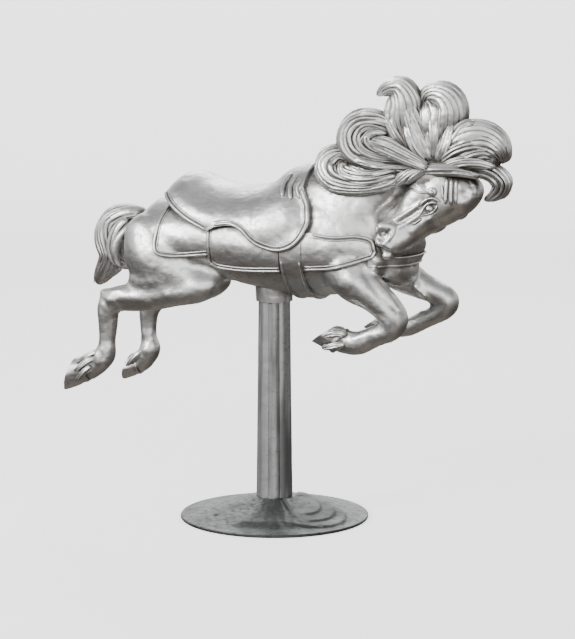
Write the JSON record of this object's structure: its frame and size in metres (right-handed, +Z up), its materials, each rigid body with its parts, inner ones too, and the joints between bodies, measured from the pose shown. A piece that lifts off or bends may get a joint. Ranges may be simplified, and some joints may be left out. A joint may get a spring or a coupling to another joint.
{
  "type": "carousel horse",
  "caption": "Cast-aluminium carousel jumper with a flying mane and carved saddle, held up by a fluted column on a round domed foot.",
  "frame": {"origin": "centre of the foot's flat underside, on the column's axis", "axes": "+Z up, +X the way the horse faces, +Y to its left; its right, fully carved side faces -Y"},
  "size_m": [1.2768, 0.52, 1.2258],
  "materials": {
    "polished_aluminium": "hand-polished cast aluminium, bright on the high parts, dull and dirty in the carving",
    "grey_aluminium": "as-cast aluminium, brushed lengthways, weathered in dark streaks",
    "foot_aluminium": "as-cast aluminium, dull grey with small casting pits"
  },
  "bodies": {
    "root": {"horse": "polished_aluminium", "column": "grey_aluminium", "foot": "foot_aluminium"}
  },
  "joints": []
}
